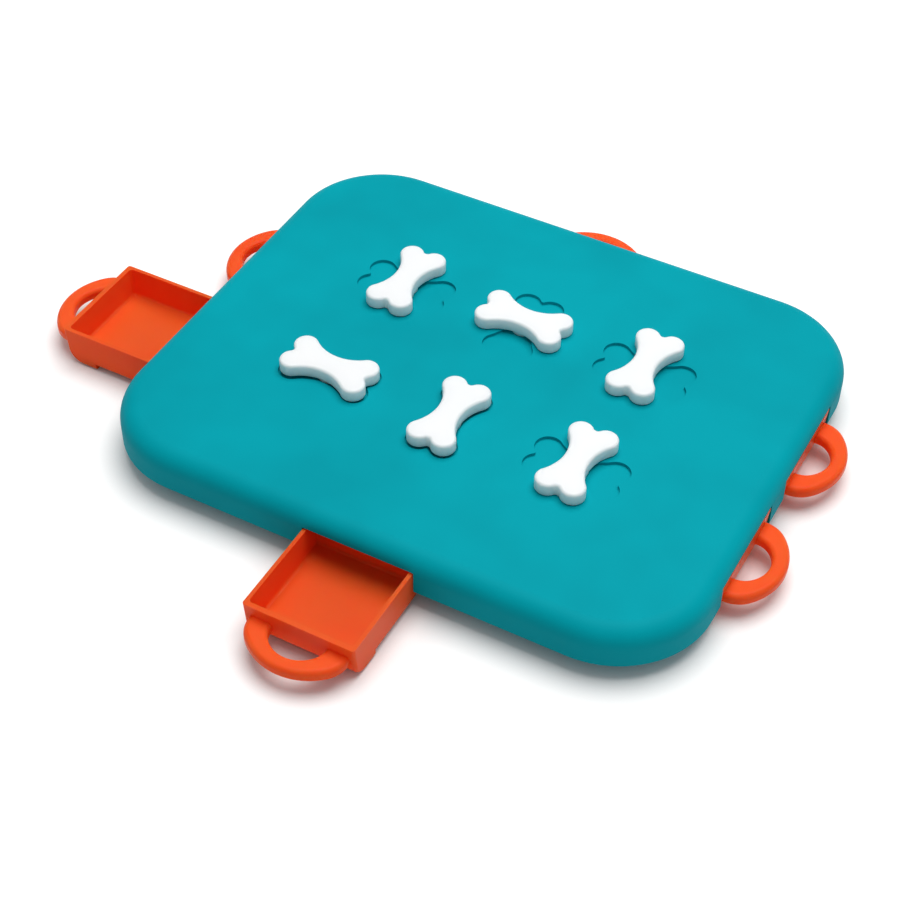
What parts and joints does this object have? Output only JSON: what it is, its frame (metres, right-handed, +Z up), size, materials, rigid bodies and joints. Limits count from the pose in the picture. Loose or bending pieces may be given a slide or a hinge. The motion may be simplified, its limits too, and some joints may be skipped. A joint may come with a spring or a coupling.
{
  "type": "dog puzzle feeder",
  "caption": "Flat rounded board with pull-out treat drawers in its sides, each held by a bone-shaped turning knob on top.",
  "frame": {"origin": "centre of the base plate's flat underside; the rubber feet stand 1 mm below it", "axes": "+Z up through the board; +X along the board's long side, away from the end whose front drawer stands open; +Y from the open front drawer to the back"},
  "size_m": [0.421, 0.3585, 0.0391],
  "materials": {
    "cover_plastic": "moulded turquoise plastic, fine matt grain",
    "base_plastic": "moulded turquoise plastic, matt",
    "drawer_plastic": "moulded orange plastic, satin",
    "knob_plastic": "moulded white plastic, satin",
    "cam_plastic": "moulded natural white plastic",
    "screw_steel": "zinc plated",
    "foot_rubber": "moulded rubber, matt"
  },
  "bodies": {
    "board": {"top_cover": "cover_plastic", "base_plate": "base_plastic", "case_screws": "screw_steel", "foot_right_back": "foot_rubber", "foot_left_back": "foot_rubber", "foot_left_front": "foot_rubber", "foot_right_front": "foot_rubber"},
    "front_drawer": {"drawer_front": "drawer_plastic"},
    "back_drawer": {"drawer_back": "drawer_plastic"},
    "left_front_drawer": {"drawer_left_front": "drawer_plastic"},
    "left_back_drawer": {"drawer_left_back": "drawer_plastic"},
    "right_front_drawer": {"drawer_right_front": "drawer_plastic"},
    "right_back_drawer": {"drawer_right_back": "drawer_plastic"},
    "front_knob": {"bone_knob_front": "knob_plastic", "lock_cam_front": "cam_plastic", "cam_screw_front": "screw_steel"},
    "back_knob": {"bone_knob_back": "knob_plastic", "lock_cam_back": "cam_plastic", "cam_screw_back": "screw_steel"},
    "left_front_knob": {"bone_knob_left_front": "knob_plastic", "lock_cam_left_front": "cam_plastic", "cam_screw_left_front": "screw_steel"},
    "left_back_knob": {"bone_knob_left_back": "knob_plastic", "lock_cam_left_back": "cam_plastic", "cam_screw_left_back": "screw_steel"},
    "right_front_knob": {"bone_knob_right_front": "knob_plastic", "lock_cam_right_front": "cam_plastic", "cam_screw_right_front": "screw_steel"},
    "right_back_knob": {"bone_knob_right_back": "knob_plastic", "lock_cam_right_back": "cam_plastic", "cam_screw_right_back": "screw_steel"}
  },
  "joints": [
    {"name": "front_drawer_slide", "type": "slide", "parent": "board", "child": "front_drawer", "axis": [0, -1, 0], "range_m": [-0.0535, 0.0035]},
    {"name": "back_drawer_slide", "type": "slide", "parent": "board", "child": "back_drawer", "axis": [0, 1, 0], "range_m": [0, 0.057]},
    {"name": "left_front_drawer_slide", "type": "slide", "parent": "board", "child": "left_front_drawer", "axis": [-1, 0, 0], "range_m": [-0.057, 0]},
    {"name": "left_back_drawer_slide", "type": "slide", "parent": "board", "child": "left_back_drawer", "axis": [-1, 0, 0], "range_m": [0, 0.057]},
    {"name": "right_front_drawer_slide", "type": "slide", "parent": "board", "child": "right_front_drawer", "axis": [1, 0, 0], "range_m": [0, 0.057]},
    {"name": "right_back_drawer_slide", "type": "slide", "parent": "board", "child": "right_back_drawer", "axis": [1, 0, 0], "range_m": [0, 0.057]},
    {"name": "front_knob_turn", "type": "hinge", "parent": "board", "child": "front_knob", "pos_m": [0, -0.041, 0.0305], "axis": [0, 0, 1], "continuous": true},
    {"name": "back_knob_turn", "type": "hinge", "parent": "board", "child": "back_knob", "pos_m": [0, 0.041, 0.0305], "axis": [0, 0, 1], "continuous": true},
    {"name": "left_front_knob_turn", "type": "hinge", "parent": "board", "child": "left_front_knob", "pos_m": [-0.0705, -0.04, 0.0305], "axis": [0, 0, 1], "continuous": true},
    {"name": "left_back_knob_turn", "type": "hinge", "parent": "board", "child": "left_back_knob", "pos_m": [-0.0705, 0.04, 0.0305], "axis": [0, 0, 1], "continuous": true},
    {"name": "right_front_knob_turn", "type": "hinge", "parent": "board", "child": "right_front_knob", "pos_m": [0.0705, -0.04, 0.0305], "axis": [0, 0, 1], "continuous": true},
    {"name": "right_back_knob_turn", "type": "hinge", "parent": "board", "child": "right_back_knob", "pos_m": [0.0705, 0.04, 0.0305], "axis": [0, 0, 1], "continuous": true}
  ]
}
